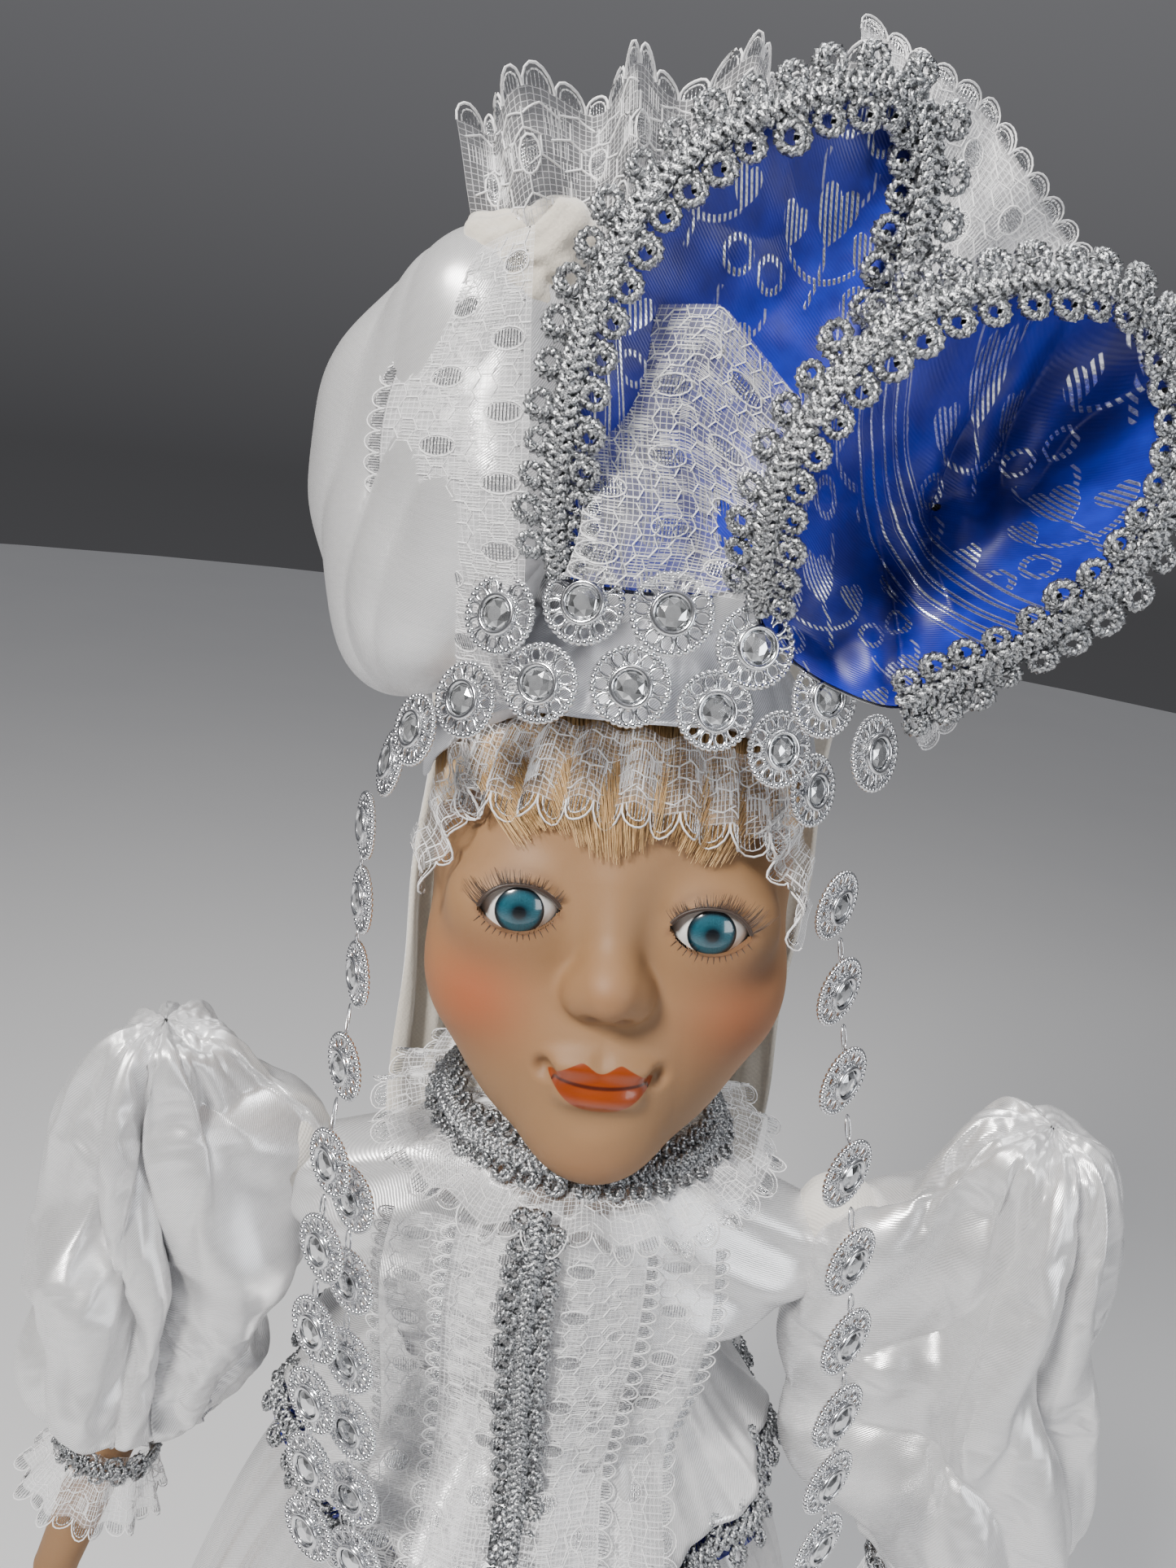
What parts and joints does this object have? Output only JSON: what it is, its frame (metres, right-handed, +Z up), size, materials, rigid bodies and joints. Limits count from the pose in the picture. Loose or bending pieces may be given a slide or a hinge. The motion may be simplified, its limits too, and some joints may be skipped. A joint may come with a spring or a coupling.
{
  "type": "collectible porcelain doll",
  "caption": "Standing lady doll with a porcelain head, a white satin and lace dress, a blue brocade petal headdress and hanging rosette strands, on a metal stand.",
  "frame": {"origin": "centre of the underside of the stand's round base", "axes": "+Z up; the doll faces -Y; +X is the doll's left side, on the right as seen from the front"},
  "size_m": [0.207, 0.196, 0.464],
  "materials": {
    "bisque": "matte unglazed bisque with painted blush and glossy painted lips",
    "cloth_body": "tight plain cotton, stuffed",
    "cotton": "plain white cotton",
    "white_satin": "smooth glossy satin with deep soft folds",
    "blue_brocade": "glossy royal-blue satin brocade woven with silver thread",
    "lace": "white net lace with silver thread in its scallops",
    "cream_felt": "soft fuzzy cream felt",
    "silver_gimp": "shiny silver cord braided with loops along both sides",
    "wig_hair": "fine honey-blond fibre",
    "lash_hair": "stiff dark brown fibre",
    "silver_plastic": "bright metallised flower with twelve beaded loops",
    "clear_stone": "clear faceted round stone with a mirror back",
    "eye_glass": "glossy white of the eye",
    "iris_glass": "teal-blue iris with pale rays, dark rim and black pupil",
    "card": "plain pressed card",
    "hardware": "plain plated steel",
    "stand_metal": "white enamelled steel",
    "shoe_leather": "soft white leather with a tan heel"
  },
  "bodies": {
    "body": {"stand_base": "stand_metal", "stand_post": "stand_metal", "stand_clip": "stand_metal", "torso": "cloth_body", "shoulder_plate": "bisque", "neck_washer": "hardware", "bodice": "white_satin", "bodice_snaps": "hardware", "collar_lace": "lace", "collar_gimp": "silver_gimp", "jabot_lace": "lace", "jabot_gimp": "silver_gimp", "peplum": "blue_brocade", "peplum_gimp": "silver_gimp", "skirt": "white_satin", "petticoat": "cotton"},
    "head": {"head": "bisque", "neck_bolt": "hardware", "pate": "card", "left_eye": "eye_glass", "right_eye": "eye_glass", "irises": "iris_glass", "upper_lashes": "lash_hair", "wig": "wig_hair", "bangs": "wig_hair", "headdress_foundation": "cream_felt", "brow_lace": "lace", "brow_rosettes": "silver_plastic", "brow_stones": "clear_stone", "centre_petal": "blue_brocade", "centre_petal_gimp": "silver_gimp", "right_petal": "blue_brocade", "right_petal_gimp": "silver_gimp", "left_petal": "lace", "crown_puff": "white_satin", "top_ruffle": "lace", "side_drape": "lace", "nape_drape": "cream_felt"},
    "left_strand": {"left_strand_rosettes": "silver_plastic", "left_strand_stones": "clear_stone"},
    "right_strand": {"right_strand_rosettes": "silver_plastic", "right_strand_stones": "clear_stone"},
    "left_arm": {"left_upper_arm": "cloth_body", "left_forearm": "bisque", "left_sleeve": "white_satin", "left_cuff": "lace"},
    "right_arm": {"right_upper_arm": "cloth_body", "right_forearm": "bisque", "right_sleeve": "white_satin", "right_cuff": "lace"},
    "left_leg": {"left_thigh": "cloth_body", "left_lower_leg": "bisque", "left_shoe": "shoe_leather", "left_pantalette": "cotton"},
    "right_leg": {"right_thigh": "cloth_body", "right_lower_leg": "bisque", "right_shoe": "shoe_leather", "right_pantalette": "cotton"}
  },
  "joints": [
    {"name": "head_turn", "type": "hinge", "parent": "body", "child": "head", "pos_m": [0.001, 0.002, 0.286], "axis": [0, 0, 1], "range_deg": [-8, 8]},
    {"name": "left_strand_swing", "type": "hinge", "parent": "head", "child": "left_strand", "pos_m": [-0.038, -0.016, 0.3555], "axis": [-1, 0, 0], "range_deg": [0, 16]},
    {"name": "right_strand_swing", "type": "hinge", "parent": "head", "child": "right_strand", "pos_m": [0.0295, -0.025, 0.3575], "axis": [-1, 0, 0], "range_deg": [0, 16]},
    {"name": "left_arm_swing", "type": "hinge", "parent": "body", "child": "left_arm", "pos_m": [-0.051, 0.002, 0.28], "axis": [-1, 0, 0], "range_deg": [-15, 30]},
    {"name": "right_arm_swing", "type": "hinge", "parent": "body", "child": "right_arm", "pos_m": [0.051, 0.002, 0.28], "axis": [-1, 0, 0], "range_deg": [-15, 30]},
    {"name": "left_leg_swing", "type": "hinge", "parent": "body", "child": "left_leg", "pos_m": [-0.018, 0.002, 0.199], "axis": [-1, 0, 0], "range_deg": [-10, 12]},
    {"name": "right_leg_swing", "type": "hinge", "parent": "body", "child": "right_leg", "pos_m": [0.018, 0.002, 0.199], "axis": [-1, 0, 0], "range_deg": [-10, 12]}
  ]
}
